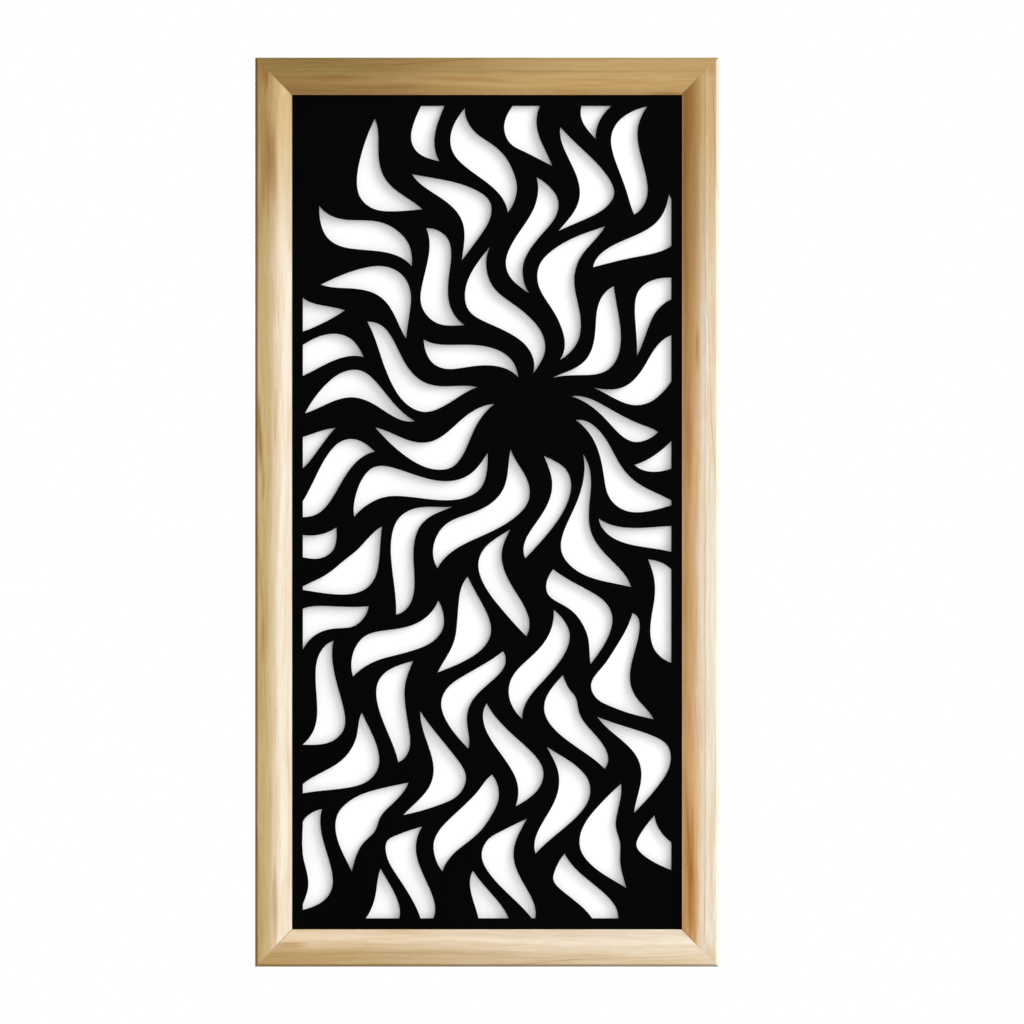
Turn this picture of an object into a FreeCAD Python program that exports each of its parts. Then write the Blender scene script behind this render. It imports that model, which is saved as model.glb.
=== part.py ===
import FreeCAD, Part
import math
import os

import Sketcher
from FreeCAD import Placement, Rotation, Vector

# Framed fretwork panel: a mitred pine moulding holds one black sheet that is cut through with wavy rays.
# X runs along the width, +Y to the back and Z up. The origin is the middle of the bottom edge, at half depth.
# Sizes are in millimetres.
SIZES = {
    # frame moulding
    "frame_width": 612,
    "frame_height": 1200,
    "frame_depth": 32,
    "moulding_width": 48,
    "front_edge_radius": 4.5,
    "back_edge_radius": 1.5,
    "quirk_depth": 0.5,
    "roll_width": 29,
    "roll_drop": 12.9,
    "lip_width": 1,
    "lip_thickness": 5,
    "lip_edge_radius": 0.6,
    "rebate_width": 10,
    # biscuits in the mitres
    "biscuit_width": 15,
    "biscuit_thickness": 4,
    "biscuit_end_cover": 3.4,
    "biscuit_setback": 23,
    "biscuit_play": 0.4,
    # fretwork sheet, with a border round its openings that shows inside the frame
    "panel_thickness": 6,
    "panel_clearance": 1,
    "panel_border": 14,
    # solid hub, from the middle of the sheet, and the openings round it
    "hub_right": 63,
    "hub_up": 128,
    "hub_radius": 55,
    "hub_cells": 4.5,
    "hub_tip_angle": 40,
    "web_width": 17.5,
    "cell_area": 8800,
    "cell_stretch": 2.2,
    "wave_length": 195,
    "wave_height": 27,
    "smallest_opening": 900,
    "solid_corner": 75,
    # beads that keep the sheet in the rebate
    "bead_width": 12,
    "bead_edge_radius": 3,
    # panel pins through the beads
    "pin_length": 25,
    "pin_radius": 0.7,
    "pin_point": 2,
    "pin_head_radius": 1.3,
    "pin_head_height": 1,
    "pin_end_distance": 95,
    "rail_pin_count": 3,
    "stile_pin_count": 6,
    "fastener_play": 0.1,
    # keyhole hanger plates at the back of the stiles
    "hanger_drop": 150,
    "plate_length": 45,
    "plate_width": 16,
    "plate_thickness": 2,
    "plate_corner_radius": 4,
    "keyhole_entry_radius": 4.5,
    "keyhole_slot_radius": 2.4,
    "keyhole_rise": 9,
    "keyhole_head_room": 5,
    "keyhole_side_room": 1,
    "keyhole_room_corner": 4,
    # wood screws of the hanger plates
    "screw_spacing": 34,
    "screw_length": 16,
    "screw_radius": 1.5,
    "screw_point": 3,
    "screw_head_radius": 3,
    "screw_head_height": 1.5,
}

GOLDEN_ANGLE = math.pi * (3 - math.sqrt(5))
POINTS_PER_SIDE = 9
SIDE_CURVE_DEGREE = 2
SCREWS_PER_PLATE = "2"

doc = FreeCAD.newDocument("fretwork_divider_panel")
sheet = doc.addObject("Spreadsheet::Sheet", "Sizes")
for row, (alias, number) in enumerate(SIZES.items(), start=1):
    sheet.set(f"A{row}", alias)
    sheet.set(f"B{row}", str(number))
    sheet.setAlias(f"B{row}", alias)
doc.recompute()

# Places in the moulding's section: depth is measured along Y, inwards from the outer edge along Z.
FRONT = "(-Sizes.frame_depth / 2)"
BACK = "(Sizes.frame_depth / 2)"
ROLL_START = "(Sizes.moulding_width - Sizes.lip_width - Sizes.roll_width)"
ROLL_END = "(Sizes.moulding_width - Sizes.lip_width)"
ROLL_TOP = f"({FRONT} + Sizes.quirk_depth)"
LIP_FRONT = f"({ROLL_TOP} + Sizes.roll_drop)"
SHOULDER = f"({LIP_FRONT} + Sizes.lip_thickness)"
ROLL_RADIUS = "((Sizes.roll_width ^ 2 + Sizes.roll_drop ^ 2) / (2 * Sizes.roll_drop))"
REBATE_WALL = "(Sizes.moulding_width - Sizes.rebate_width)"
PANEL_BACK = f"({SHOULDER} + Sizes.panel_thickness)"
BEAD_FACE = f"({REBATE_WALL} + Sizes.bead_width)"
BEAD_MIDDLE = f"(({PANEL_BACK} + {BACK}) / 2)"
SECTION_MIDDLE = f"({REBATE_WALL} / 2)"

# The four sides of the frame. In a side's own axes X runs along its length and Z inwards from its outer edge.
RAIL = {"length": "Sizes.frame_width", "pins": "Sizes.rail_pin_count"}
STILE = {"length": "Sizes.frame_height", "pins": "Sizes.stile_pin_count"}
SIDES = {
    "bottom": {**RAIL, "piece": "frame_bottom_rail", "turn": 0, "x": "0", "z": "0"},
    "top": {**RAIL, "piece": "frame_top_rail", "turn": 180, "x": "0", "z": "Sizes.frame_height"},
    "left": {**STILE, "piece": "frame_left_stile", "turn": 90,
             "x": "-Sizes.frame_width / 2", "z": "Sizes.frame_height / 2"},
    "right": {**STILE, "piece": "frame_right_stile", "turn": -90,
              "x": "Sizes.frame_width / 2", "z": "Sizes.frame_height / 2"},
}

nodes = []


def value(expression):
    return float(sheet.evalExpression(str(expression)))


def place(piece, x, y, z, turn=0):
    """Put a piece at a place given by expressions, turned about Y by an angle in degrees."""
    piece.Placement = Placement(Vector(), Rotation(Vector(0, 1, 0), turn))
    for axis, expression in zip("xyz", (x, y, z)):
        piece.setExpression(f"Placement.Base.{axis}", expression)


def new_body(name):
    body = doc.addObject("PartDesign::Body", name)
    body.Label = name
    nodes.append(body)
    return body


def new_sketch(body, role, name, offset=("0", "0", "0")):
    """Sketch on one of the body's own planes, moved by an offset in the sketch's own axes."""
    plane = next(feature for feature in body.Origin.OriginFeatures if feature.Role == role)
    sketch = body.newObject("Sketcher::SketchObject", name)
    sketch.AttachmentSupport = [(plane, "")]
    sketch.MapMode = "FlatFace"
    for axis, expression in zip("xyz", offset):
        sketch.setExpression(f"AttachmentOffset.Base.{axis}", expression)
    return sketch


def constrain(sketch, expression, *terms):
    index = sketch.addConstraint(Sketcher.Constraint(*terms, value(expression)))
    sketch.setExpression(f"Constraints[{index}]", expression)


def arc_between(start, end, radius):
    """Arc that turns anticlockwise from start to end."""
    half_chord = (end - start) / 2
    to_left = Vector(-half_chord.y, half_chord.x, 0).normalize()
    centre = start + half_chord + to_left * math.sqrt(radius ** 2 - half_chord.Length ** 2)
    angles = [math.atan2(point.y - centre.y, point.x - centre.x) for point in (start, end)]
    return Part.ArcOfCircle(Part.Circle(centre, Vector(0, 0, 1), radius), *angles)


def draw_outline(sketch, corners):
    """Closed outline through (x, y) corners, anticlockwise. A third term rounds the edge after its corner."""
    points = [Vector(value(corner[0]), value(corner[1]), 0) for corner in corners]
    first = sketch.GeometryCount
    count = len(corners)
    for index, corner in enumerate(corners):
        ends = points[index], points[(index + 1) % count]
        edge = arc_between(*ends, value(corner[2])) if len(corner) == 3 else Part.LineSegment(*ends)
        sketch.addGeometry(edge)
    for index, corner in enumerate(corners):
        edge = first + index
        sketch.addConstraint(Sketcher.Constraint("Coincident", edge, 2, first + (index + 1) % count, 1))
        constrain(sketch, corner[0], "DistanceX", -1, 1, edge, 1)
        constrain(sketch, corner[1], "DistanceY", -1, 1, edge, 1)
        if len(corner) == 3:
            constrain(sketch, corner[2], "Radius", edge)


def draw_circle(sketch, x, y, radius):
    centre = Vector(value(x), value(y), 0)
    circle = sketch.addGeometry(Part.Circle(centre, Vector(0, 0, 1), value(radius)))
    constrain(sketch, x, "DistanceX", -1, 1, circle, 3)
    constrain(sketch, y, "DistanceY", -1, 1, circle, 3)
    constrain(sketch, radius, "Radius", circle)


def rounded_rectangle(x, y, half_width, half_height, radius):
    """Corners of a rectangle about (x, y) whose four corners are rounded."""
    left, right = f"{x} - {half_width}", f"{x} + {half_width}"
    low, high = f"{y} - {half_height}", f"{y} + {half_height}"
    return [
        (f"{left} + {radius}", low),
        (f"{right} - {radius}", low, radius),
        (right, f"{low} + {radius}"),
        (right, f"{high} - {radius}", radius),
        (f"{right} - {radius}", high),
        (f"{left} + {radius}", high, radius),
        (left, f"{high} - {radius}"),
        (left, f"{low} + {radius}", radius),
    ]


def upright_slot(x, low, high, radius):
    """Corners of a slot with round ends, whose end centres lie at (x, low) and (x, high)."""
    left, right = f"{x} - {radius}", f"{x} + {radius}"
    return [
        (x, f"{low} - {radius}", radius),
        (right, low),
        (right, high, radius),
        (x, f"{high} + {radius}", radius),
        (left, high),
        (left, low, radius),
    ]


def lens(x, y, across, play="0"):
    """Corners of a biscuit's outline about (x, y), long along X if across and else along (-1, 1)."""
    length = f"({REBATE_WALL} * sqrt(2) - 2 * Sizes.biscuit_end_cover + 2 * {play})"
    width = f"(Sizes.biscuit_width + 2 * {play})"
    radius = f"(({length} ^ 2 + {width} ^ 2) / (4 * {width}))"
    step = f"{length} / 2" if across else f"{length} / sqrt(8)"
    rise = "0" if across else step
    return [(f"{x} + {step}", f"{y} - {rise}", radius), (f"{x} - {step}", f"{y} + {rise}", radius)]


def mirrored(corners):
    """The same corners on the other side of X = 0, still anticlockwise."""
    flipped = [(f"-({corner[0]})", corner[1]) for corner in corners]
    radii = [corner[2:] for corner in corners]
    count = len(corners)
    return [flipped[-index] + radii[-index - 1] for index in range(count)]


def add_pad(body, sketch, length, symmetric=True):
    pad = body.newObject("PartDesign::Pad", f"{body.Name}_pad")
    pad.Profile = sketch
    pad.SideType = "Symmetric" if symmetric else "One side"
    pad.setExpression("Length", length)
    return pad


def add_pocket(body, sketch, depth=None, symmetric=False, backwards=False):
    """Cut a sketch into the body, to a depth or, with none given, right through on both sides."""
    pocket = body.newObject("PartDesign::Pocket", f"{sketch.Name}_pocket")
    pocket.Profile = sketch
    pocket.SideType = "Symmetric" if symmetric or depth is None else "One side"
    pocket.Reversed = backwards
    if depth is None:
        pocket.Type = "ThroughAll"
    else:
        pocket.setExpression("Length", depth)
    return pocket


def repeat(body, feature, sketch, axis, length, count):
    """Repeat a feature evenly over a length along one of its sketch's axes."""
    pattern = body.newObject("PartDesign::LinearPattern", f"{feature.Name}_row")
    pattern.Originals = [feature]
    pattern.Direction = (sketch, [axis])
    pattern.setExpression("Length", length)
    pattern.setExpression("Occurrences", count)
    body.Tip = pattern
    return pattern


def turn_round(body, kind, sketch, axis):
    """Solid of revolution, or cut, of a sketch about one of its own axes."""
    feature = body.newObject(f"PartDesign::{kind}", f"{sketch.Name}_{kind.lower()}")
    feature.Profile = sketch
    feature.ReferenceAxis = (sketch, [axis])
    feature.Angle = 360
    return feature


def pin_span(side):
    return f"({side['length']} - 2 * Sizes.pin_end_distance)"


def cut_pin_holes(body, side, name, top, radius, depth):
    """Row of holes for the panel pins, down from a height in the side's own axes."""
    sketch = new_sketch(body, "XY_Plane", f"{body.Name}_{name}", ("0", "0", top))
    draw_circle(sketch, f"-{pin_span(side)} / 2", BEAD_MIDDLE, radius)
    pocket = add_pocket(body, sketch, depth)
    repeat(body, pocket, sketch, "H_Axis", pin_span(side), side["pins"])


def cut_mitres(body, side):
    """Cut both ends of a side at 45 degrees, from its outer corner inwards."""
    sketch = new_sketch(body, "XZ_Plane", f"{body.Name}_mitres")
    end = f"{side['length']} / 2"
    past = "Sizes.moulding_width"
    triangle = [
        (f"{end} + {past}", f"-{past}"),
        (f"{end} + {past}", f"2 * {past}"),
        (f"{end} - 2 * {past}", f"2 * {past}"),
    ]
    draw_outline(sketch, triangle)
    draw_outline(sketch, mirrored(triangle))
    add_pocket(body, sketch)


def make_moulding(side):
    """Rail or stile: a flat band, a quirk, a sloping roll and a thin lip, with the rebate behind the lip."""
    body = new_body(side["piece"])
    profile = new_sketch(body, "YZ_Plane", f"{body.Name}_profile")
    draw_outline(profile, [
        (f"{FRONT} + Sizes.front_edge_radius", "0"),
        (f"{BACK} - Sizes.back_edge_radius", "0", "Sizes.back_edge_radius"),
        (BACK, "Sizes.back_edge_radius"),
        (BACK, REBATE_WALL),
        (SHOULDER, REBATE_WALL),
        (SHOULDER, "Sizes.moulding_width"),
        (f"{LIP_FRONT} + Sizes.lip_edge_radius", "Sizes.moulding_width", "Sizes.lip_edge_radius"),
        (LIP_FRONT, "Sizes.moulding_width - Sizes.lip_edge_radius"),
        (LIP_FRONT, ROLL_END, ROLL_RADIUS),
        (ROLL_TOP, ROLL_START),
        (FRONT, ROLL_START),
        (FRONT, "Sizes.front_edge_radius", "Sizes.front_edge_radius"),
    ])
    add_pad(body, profile, side["length"])
    cut_mitres(body, side)

    slots = new_sketch(body, "XZ_Plane", f"{body.Name}_biscuit_slots",
                       ("0", "0", f"-({FRONT} + Sizes.biscuit_setback)"))
    slot = lens(f"{side['length']} / 2 - {SECTION_MIDDLE}", SECTION_MIDDLE, False, "Sizes.biscuit_play")
    draw_outline(slots, slot)
    draw_outline(slots, mirrored(slot))
    add_pocket(body, slots, "Sizes.biscuit_thickness", symmetric=True)

    cut_pin_holes(body, side, "pin_holes", REBATE_WALL, "Sizes.pin_radius + Sizes.fastener_play",
                  "Sizes.pin_length - Sizes.bead_width + Sizes.fastener_play")
    place(body, side["x"], "0", side["z"], side["turn"])
    return body


def let_in_hanger(stile, upwards):
    """Recess for a hanger plate in a stile's back, with room for the wall screw's head and for two screws."""
    middle = f"{upwards} * (Sizes.frame_height / 2 - Sizes.hanger_drop)"
    at_back = ("0", "0", f"-{BACK}")
    recess = new_sketch(stile, "XZ_Plane", f"{stile.Name}_recess", at_back)
    draw_outline(recess, rounded_rectangle(middle, SECTION_MIDDLE, "Sizes.plate_length / 2",
                                           "Sizes.plate_width / 2", "Sizes.plate_corner_radius"))
    add_pocket(stile, recess, "Sizes.plate_thickness", backwards=True)

    head_room = new_sketch(stile, "XZ_Plane", f"{stile.Name}_head_room", at_back)
    room = "(Sizes.keyhole_entry_radius + Sizes.keyhole_side_room)"
    draw_outline(head_room, rounded_rectangle(middle, SECTION_MIDDLE, f"(Sizes.keyhole_rise / 2 + {room})",
                                              room, "Sizes.keyhole_room_corner"))
    add_pocket(stile, head_room, "Sizes.plate_thickness + Sizes.keyhole_head_room", backwards=True)

    holes = new_sketch(stile, "XZ_Plane", f"{stile.Name}_screw_holes", at_back)
    for step in ("-Sizes.screw_spacing / 2", "Sizes.screw_spacing / 2"):
        draw_circle(holes, f"{middle} + {step}", SECTION_MIDDLE, "Sizes.screw_radius + Sizes.fastener_play")
    add_pocket(stile, holes, "Sizes.screw_length + Sizes.fastener_play", backwards=True)


def make_bead(name, side):
    """Mitred bead behind the sheet, flush with the frame's back, with its inner back edge rounded over."""
    body = new_body(f"retaining_bead_{name}")
    profile = new_sketch(body, "YZ_Plane", f"{body.Name}_profile")
    draw_outline(profile, [
        (PANEL_BACK, REBATE_WALL),
        (BACK, REBATE_WALL),
        (BACK, f"{BEAD_FACE} - Sizes.bead_edge_radius", "Sizes.bead_edge_radius"),
        (f"{BACK} - Sizes.bead_edge_radius", BEAD_FACE),
        (PANEL_BACK, BEAD_FACE),
    ])
    add_pad(body, profile, side["length"])
    cut_mitres(body, side)
    cut_pin_holes(body, side, "pin_holes", BEAD_FACE, "Sizes.pin_radius + Sizes.fastener_play",
                  "Sizes.bead_width")
    cut_pin_holes(body, side, "head_holes", BEAD_FACE, "Sizes.pin_head_radius + Sizes.fastener_play",
                  "Sizes.pin_head_height")
    place(body, side["x"], "0", side["z"], side["turn"])


def make_pins(name, side):
    """Row of panel pins through a bead into the rebate's wall, their heads flush with the bead."""
    body = new_body(f"bead_pins_{name}")
    profile = new_sketch(body, "XZ_Plane", f"{body.Name}_profile",
                         (f"-{pin_span(side)} / 2", BEAD_FACE, f"-{BEAD_MIDDLE}"))
    draw_outline(profile, [
        ("0", "-Sizes.pin_length"),
        ("Sizes.pin_radius", "Sizes.pin_point - Sizes.pin_length"),
        ("Sizes.pin_radius", "-Sizes.pin_head_height"),
        ("Sizes.pin_head_radius", "-Sizes.pin_head_height"),
        ("Sizes.pin_head_radius", "0"),
        ("0", "0"),
    ])
    pin = turn_round(body, "Revolution", profile, "V_Axis")
    repeat(body, pin, profile, "H_Axis", pin_span(side), side["pins"])
    place(body, side["x"], "0", side["z"], side["turn"])


def make_biscuit(name, x, z, turn):
    """Compressed beech biscuit, half in the rail and half in the stile."""
    body = new_body(f"mitre_biscuit_{name}")
    profile = new_sketch(body, "XZ_Plane", f"{body.Name}_profile")
    draw_outline(profile, lens("0", "0", True))
    add_pad(body, profile, "Sizes.biscuit_thickness")
    place(body, x, f"{FRONT} + Sizes.biscuit_setback", z, turn)


def make_hanger_plate(name, x):
    """Keyhole plate: a wall screw's head goes in at the round entry and slides up behind the narrow slot."""
    body = new_body(f"hanger_plate_{name}")
    outline = new_sketch(body, "XZ_Plane", f"{body.Name}_outline")
    draw_outline(outline, rounded_rectangle("0", "0", "Sizes.plate_width / 2", "Sizes.plate_length / 2",
                                            "Sizes.plate_corner_radius"))
    add_pad(body, outline, "Sizes.plate_thickness", symmetric=False)

    entry = new_sketch(body, "XZ_Plane", f"{body.Name}_entry")
    draw_circle(entry, "0", "-Sizes.keyhole_rise / 2", "Sizes.keyhole_entry_radius")
    add_pocket(body, entry)

    slot = new_sketch(body, "XZ_Plane", f"{body.Name}_slot")
    draw_outline(slot, upright_slot("0", "-Sizes.keyhole_rise / 2", "Sizes.keyhole_rise / 2",
                                    "Sizes.keyhole_slot_radius"))
    add_pocket(body, slot)

    sink = new_sketch(body, "YZ_Plane", f"{body.Name}_countersink", ("0", "-Sizes.screw_spacing / 2", "0"))
    draw_outline(sink, [
        ("-Sizes.plate_thickness", "0"),
        ("0", "0"),
        ("0", "Sizes.screw_head_radius + Sizes.fastener_play"),
        ("-Sizes.screw_head_height", "Sizes.screw_radius + Sizes.fastener_play"),
        ("-Sizes.plate_thickness", "Sizes.screw_radius + Sizes.fastener_play"),
    ])
    groove = turn_round(body, "Groove", sink, "H_Axis")
    repeat(body, groove, sink, "V_Axis", "Sizes.screw_spacing", SCREWS_PER_PLATE)
    place(body, x, BACK, "Sizes.frame_height - Sizes.hanger_drop")


def make_hanger_screws(name, x):
    """Two countersunk wood screws, their heads flush with the plate."""
    body = new_body(f"hanger_screws_{name}")
    profile = new_sketch(body, "YZ_Plane", f"{body.Name}_profile", ("0", "-Sizes.screw_spacing / 2", "0"))
    draw_outline(profile, [
        ("-Sizes.screw_length", "0"),
        ("0", "0"),
        ("0", "Sizes.screw_head_radius"),
        ("-Sizes.screw_head_height", "Sizes.screw_radius"),
        ("Sizes.screw_point - Sizes.screw_length", "Sizes.screw_radius"),
    ])
    screw = turn_round(body, "Revolution", profile, "H_Axis")
    repeat(body, screw, profile, "V_Axis", "Sizes.screw_spacing", SCREWS_PER_PLATE)
    place(body, x, BACK, "Sizes.frame_height - Sizes.hanger_drop")


def rectangle_wire(half_width, half_height):
    """Rectangle about the origin, in the plane of the sheet."""
    corners = [Vector(x * half_width, 0, z * half_height) for x, z in ((-1, -1), (1, -1), (1, 1), (-1, 1))]
    return Part.makePolygon(corners + corners[:1])


def cut_back(polygon, normal, reach):
    """Part of a convex polygon that lies no further than reach along a direction."""
    kept = []
    for start, end in zip(polygon, polygon[1:] + polygon[:1]):
        start_over = start.dot(normal) - reach
        end_over = end.dot(normal) - reach
        if start_over <= 0:
            kept.append(start)
        if start_over * end_over < 0:
            kept.append(start + (end - start) * (start_over / (start_over - end_over)))
    return kept


class RayPattern:
    """Openings that run out from a hub like wavy rays.

    Seeds lie on a sunflower spiral, evenly over the sheet. A squeezed copy of the sheet, in which every
    distance from the hub is raised to 1 / stretch, is shared out to the nearest seed. Put back in the sheet,
    each share is a long cell that points at the hub. A wave then sways the cells sideways as they run out.
    """

    def __init__(self):
        self.stretch = value("Sizes.cell_stretch")
        self.half_width = value("Sizes.frame_width / 2 - Sizes.moulding_width - Sizes.panel_border")
        self.half_height = value("Sizes.frame_height / 2 - Sizes.moulding_width - Sizes.panel_border")
        self.hub = Vector(value("Sizes.hub_right"), 0, value("Sizes.hub_up"))
        self.seeds = self.spread_seeds()

    def spread_seeds(self):
        """Seeds of the squeezed sheet, out to one cell's length past the furthest corner."""
        spacing = math.sqrt(value("Sizes.cell_area") / math.pi)
        furthest = math.hypot(self.half_width + abs(self.hub.x), self.half_height + abs(self.hub.z))
        last = ((furthest + value("Sizes.wave_length")) / spacing) ** 2
        seeds = []
        for index in range(int(last)):
            distance = spacing * math.sqrt(index + value("Sizes.hub_cells"))
            seeds.append(self.squeezed(distance, index * GOLDEN_ANGLE))
        return seeds

    def squeezed(self, distance, angle):
        near = distance ** (1 / self.stretch)
        return Vector(near * math.cos(angle), 0, near * math.sin(angle))

    def swayed(self, point):
        """Place in the sheet of a point of the squeezed sheet, moved sideways by the wave."""
        distance = point.Length ** self.stretch
        angle = math.atan2(point.z, point.x)
        wave = math.sin(2 * math.pi * distance / value("Sizes.wave_length") + angle)
        angle += value("Sizes.wave_height") * wave / distance
        return self.hub + Vector(distance * math.cos(angle), 0, distance * math.sin(angle))

    def cell(self, seed):
        """Share of the squeezed sheet nearest to a seed, less half a web all round, its tip at the hub."""
        reach = seed.Length
        polygon = [seed + Vector(x * reach, 0, z * reach) for x, z in ((-1, -1), (1, -1), (1, 1), (-1, 1))]
        half_web = value("Sizes.web_width") / 2 * reach ** (1 - self.stretch)
        for other in self.seeds:
            if other is seed:
                continue
            normal = (other - seed).normalize()
            polygon = cut_back(polygon, normal, (seed + other).dot(normal) / 2 - half_web)
        outwards = Vector(seed).normalize()
        across = Vector(-outwards.z, 0, outwards.x)
        tip = outwards * value("Sizes.hub_radius") ** (1 / self.stretch)
        tip_angle = math.radians(value("Sizes.hub_tip_angle"))
        for side in (across, -across):
            normal = side * math.cos(tip_angle) - outwards * math.sin(tip_angle)
            polygon = cut_back(polygon, normal, tip.dot(normal))
        return polygon

    def side_edge(self, corners):
        """Smooth edge along one side of a cell, swayed."""
        smooth = Part.BSplineCurve()
        smooth.buildFromPoles(corners, False, min(SIDE_CURVE_DEGREE, len(corners) - 1))
        swayed = Part.BSplineCurve()
        swayed.interpolate([self.swayed(point) for point in smooth.discretize(Number=POINTS_PER_SIDE)])
        return swayed.toShape()

    def face(self, polygon):
        """Opening with two sides, which meet at the cell's nearest and furthest corners."""
        distances = [corner.Length for corner in polygon]
        nearest = distances.index(min(distances))
        ring = polygon[nearest:] + polygon[:nearest + 1]
        furthest = max(range(len(ring)), key=lambda index: ring[index].Length)
        return Part.Face(Part.Wire([self.side_edge(ring[:furthest + 1]), self.side_edge(ring[furthest:])]))

    def in_corner(self, centre):
        """True where the sheet's corners stay solid."""
        corner = Vector(self.half_width, 0, self.half_height)
        return (corner - Vector(abs(centre.x), 0, abs(centre.z))).Length < value("Sizes.solid_corner")

    def openings(self):
        """Flat faces of the openings, about the middle of the sheet and cut off straight at its border."""
        window = Part.Face(rectangle_wire(self.half_width, self.half_height))
        faces = []
        for seed in self.seeds:
            polygon = self.cell(seed)
            if len(polygon) < 3:
                continue
            face = self.face(polygon)
            if not face.BoundBox.intersect(window.BoundBox):
                continue
            for part in face.common(window).Faces:
                if part.Area >= value("Sizes.smallest_opening") and not self.in_corner(part.CenterOfMass):
                    faces.append(part)
        return faces


def make_fretwork_panel():
    """Black sheet in the rebate, cut through with the openings."""
    gap = f"({REBATE_WALL} + Sizes.panel_clearance)"
    half_width = value(f"Sizes.frame_width / 2 - {gap}")
    half_height = value(f"Sizes.frame_height / 2 - {gap}")
    wires = [rectangle_wire(half_width, half_height)]
    wires += [opening.OuterWire for opening in RayPattern().openings()]
    outline = doc.addObject("Part::Feature", "fretwork_outline")
    outline.Shape = Part.makeFace(wires, "Part::FaceMakerBullseye")

    panel = doc.addObject("Part::Extrusion", "fretwork_panel")
    panel.Label = "fretwork_panel"
    panel.Base = outline
    panel.DirMode = "Custom"
    panel.Dir = Vector(0, 1, 0)
    panel.setExpression("LengthFwd", "Sizes.panel_thickness")
    panel.Solid = True
    place(panel, "0", SHOULDER, "Sizes.frame_height / 2")
    nodes.append(panel)


def check_model():
    """Stop if a feature failed, a shape isn't sound or a cut took nothing away."""
    for item in doc.Objects:
        if "Invalid" in item.State or "Error" in item.State:
            raise RuntimeError(f"{item.Label} failed: {item.State}")
    for node in nodes:
        if node.Shape.isNull() or not node.Shape.isValid() or not node.Shape.Solids:
            raise RuntimeError(f"{node.Label} isn't a sound solid")
    for cut in doc.findObjects("PartDesign::Pocket") + doc.findObjects("PartDesign::Groove"):
        if cut.Shape.Volume >= cut.BaseFeature.Shape.Volume:
            raise RuntimeError(f"{cut.Label} cuts nothing")


for side_name, side_facts in SIDES.items():
    moulding = make_moulding(side_facts)
    if side_name in ("left", "right"):
        let_in_hanger(moulding, "-1" if side_name == "left" else "1")
    make_bead(side_name, side_facts)
    make_pins(side_name, side_facts)

for hand, sign, lean in (("left", "-1", 1), ("right", "1", -1)):
    biscuit_x = f"{sign} * (Sizes.frame_width / 2 - {SECTION_MIDDLE})"
    make_biscuit(f"bottom_{hand}", biscuit_x, SECTION_MIDDLE, -45 * lean)
    make_biscuit(f"top_{hand}", biscuit_x, f"Sizes.frame_height - {SECTION_MIDDLE}", 45 * lean)
    make_hanger_plate(hand, biscuit_x)
    make_hanger_screws(hand, biscuit_x)

make_fretwork_panel()
doc.recompute()
check_model()

os.makedirs("parts", exist_ok=True)
for node in nodes:
    node.Shape.exportStep(f"parts/{node.Label}.step")
    print(node.Label, len(node.Shape.Solids), round(node.Shape.Volume, 1))
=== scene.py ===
import math

import bmesh
import bpy
from mathutils import Matrix, Vector


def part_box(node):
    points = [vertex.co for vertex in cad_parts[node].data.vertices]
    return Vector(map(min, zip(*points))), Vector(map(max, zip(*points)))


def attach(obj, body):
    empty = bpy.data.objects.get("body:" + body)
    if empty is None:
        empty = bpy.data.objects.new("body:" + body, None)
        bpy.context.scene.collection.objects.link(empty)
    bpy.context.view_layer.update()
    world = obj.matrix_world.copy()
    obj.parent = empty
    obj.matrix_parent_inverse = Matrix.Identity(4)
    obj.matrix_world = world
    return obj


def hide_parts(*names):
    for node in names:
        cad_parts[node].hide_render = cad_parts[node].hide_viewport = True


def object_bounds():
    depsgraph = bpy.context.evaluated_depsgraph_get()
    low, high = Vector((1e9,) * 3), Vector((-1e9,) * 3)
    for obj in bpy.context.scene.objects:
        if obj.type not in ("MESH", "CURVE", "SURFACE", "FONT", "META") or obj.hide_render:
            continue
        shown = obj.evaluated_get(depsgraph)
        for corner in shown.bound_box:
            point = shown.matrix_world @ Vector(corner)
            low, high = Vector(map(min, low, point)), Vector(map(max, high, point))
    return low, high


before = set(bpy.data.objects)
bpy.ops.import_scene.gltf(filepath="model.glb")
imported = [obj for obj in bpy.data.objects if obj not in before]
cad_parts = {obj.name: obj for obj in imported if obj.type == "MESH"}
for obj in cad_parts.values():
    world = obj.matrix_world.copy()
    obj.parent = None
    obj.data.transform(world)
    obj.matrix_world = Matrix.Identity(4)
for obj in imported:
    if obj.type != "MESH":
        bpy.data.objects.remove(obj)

# A mitred pine frame round a black fretwork sheet, seen straight from the front as it hangs.
# Lengths are in metres, in the frame's own axes: X along the width, +Y to the back and Z up.
CAD_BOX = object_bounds()
LOW, HIGH = CAD_BOX
WIDTH, HEIGHT = (HIGH - LOW).xz
CENTRE = (LOW + HIGH) / 2
MM = 0.001

# Where the photograph, a square picture, shows the frame's outline, in pixels.
IMAGE_SIZE = 1024
PHOTO_LEFT, PHOTO_RIGHT = 254.9, 719.0
PHOTO_TOP, PHOTO_BOTTOM = 57.3, 967.0

# Radii of the eased edges.
BOARD_EASE, BEAD_EASE = 0.3 * MM, 0.4 * MM
PLATE_EASE, SHEET_EASE = 0.2 * MM, 0.2 * MM

SCREWS_PER_PLATE = 2
TO_BACK = (0, 1, 0)

# Tones of the pine, from the sapwood at the outside of the log to its heart. Along the boards they are
# partly painted shade, darker towards the top left where the light falls off, and AMBER and BRONZE are
# partly the painted warm shade of the right stile's inner roll.
SAPWOOD = "#E8DECD"
CREAM = "#EBD7B9"
STRAW = "#E0D1B8"
HONEY = "#C9B081"
OCHRE = "#B79A66"
OLIVE = "#AD8F5A"
UMBER = "#937A43"
RESIN = "#CEAB72"
CHESTNUT = "#A07E4A"
AMBER = "#E9BB84"
BRONZE = "#B68B50"
# Tones painted on an arris: shade where it turns away from the light, and a highlight where it faces it.
ARRIS_SHADE = "#5E4318"
ARRIS_HIGHLIGHT = "#F8F0E0"
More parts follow.
